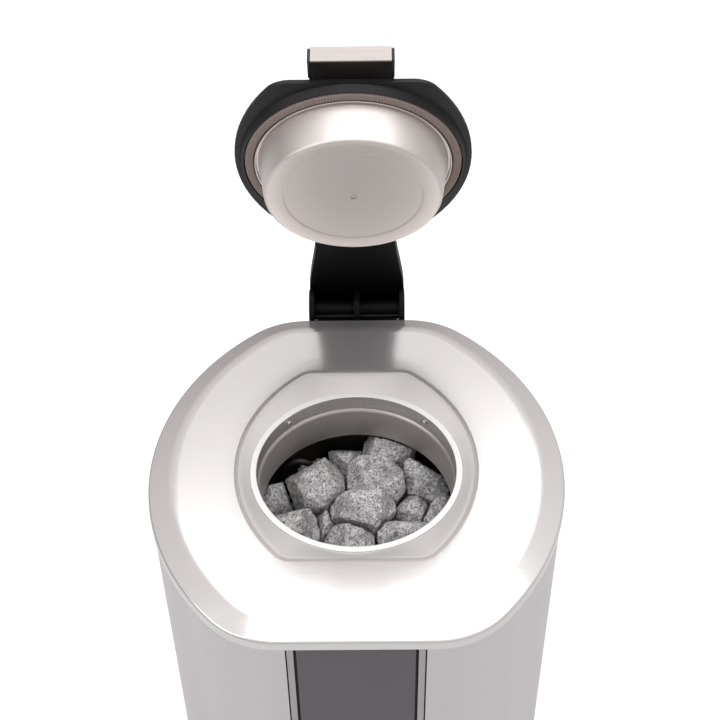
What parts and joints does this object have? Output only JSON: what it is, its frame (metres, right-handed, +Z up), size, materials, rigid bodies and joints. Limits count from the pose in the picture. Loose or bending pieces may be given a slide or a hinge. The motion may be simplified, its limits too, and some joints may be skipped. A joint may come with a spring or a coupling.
{
  "type": "sauna heater stove",
  "caption": "Floor-standing sauna stove: insulated steel casing with a round stone chamber, dished top plate and a thick hinged lid that closes the chamber.",
  "frame": {"origin": "on the floor, under the middle of the stone chamber", "axes": "+Z up, -Y towards the front, where the panel and the lid's handle are, +X to the right seen from the front"},
  "size_m": [0.5, 0.6018, 1.2386],
  "materials": {
    "casing_steel": "satin",
    "plate_steel": "polished",
    "sleeve_steel": "satin",
    "pan_steel": "satin",
    "chamber_steel": "matte",
    "zinc_steel": "satin",
    "element_steel": "matte",
    "screw_steel": "polished",
    "granite": "matte",
    "terminal_ceramic": "matte",
    "mineral_wool": "matte",
    "gasket_fibre": "matte",
    "panel_paint": "matte",
    "dark_paint": "matte",
    "hinge_paint": "satin",
    "lid_paint": "satin",
    "foot_rubber": "matte",
    "black_plastic": "matte",
    "pale_plastic": "matte",
    "red_plastic": "gloss",
    "copper_alloy": "satin"
  },
  "bodies": {
    "stove": {"casing": "casing_steel", "top_plate": "plate_steel", "neck_ring": "plate_steel", "neck_sleeve": "sleeve_steel", "neck_screws": "screw_steel", "stone_chamber": "chamber_steel", "stone_grate": "chamber_steel", "stones_top": "granite", "stones_upper": "granite", "stones_lower": "granite", "heating_elements": "element_steel", "element_nuts": "screw_steel", "element_terminals": "terminal_ceramic", "heat_shield": "zinc_steel", "side_insulation": "mineral_wool", "base_board": "terminal_ceramic", "deck_plate": "zinc_steel", "chamber_legs": "zinc_steel", "base_pan": "zinc_steel", "plinth": "dark_paint", "feet": "foot_rubber", "foot_nuts": "screw_steel", "panel_carrier": "dark_paint", "front_panel": "panel_paint", "left_trim": "plate_steel", "right_trim": "plate_steel", "thermostat": "pale_plastic", "sensor_capillary": "copper_alloy", "main_switch": "black_plastic", "overheat_limiter": "pale_plastic", "control_chassis": "zinc_steel", "contactor": "pale_plastic", "terminal_block": "pale_plastic", "service_cover": "casing_steel", "cover_screws": "screw_steel", "cable_gland": "black_plastic", "gland_nut": "black_plastic", "lid_switch": "black_plastic", "hinge_bracket": "hinge_paint", "bracket_screws": "screw_steel", "hinge_shaft": "screw_steel", "shaft_clip": "screw_steel", "hinge_washers": "copper_alloy", "stop_pins": "screw_steel"},
    "lid": {"hinge_arm": "hinge_paint", "arm_screws": "screw_steel", "lid_magnet": "screw_steel", "lid_shell": "lid_paint", "lid_liner": "zinc_steel", "lid_insulation": "mineral_wool", "lid_gasket": "gasket_fibre", "lid_pan": "pan_steel", "pan_screw": "screw_steel", "handle_bar": "plate_steel", "handle_caps": "black_plastic", "handle_screws": "screw_steel"},
    "knob": {"thermostat_knob": "black_plastic", "thermostat_spindle": "screw_steel"},
    "rocker": {"switch_rocker": "black_plastic"},
    "reset": {"reset_button": "red_plastic"}
  },
  "joints": [
    {"name": "lid_hinge", "type": "hinge", "parent": "stove", "child": "lid", "pos_m": [0, 0.3014, 0.7806], "axis": [1, 0, 0], "range_deg": [0, 73.3]},
    {"name": "knob_turn", "type": "hinge", "parent": "stove", "child": "knob", "pos_m": [0, -0.2491, 0.222], "axis": [0, -1, 0], "range_deg": [-270, 0]},
    {"name": "rocker_tilt", "type": "hinge", "parent": "stove", "child": "rocker", "pos_m": [0, -0.24438, 0.172], "axis": [-1, 0, 0], "range_deg": [0, 20]},
    {"name": "reset_push", "type": "slide", "parent": "stove", "child": "reset", "axis": [0, 1, 0], "range_m": [0, 0.0025], "stiffness_N_per_m": 400}
  ]
}
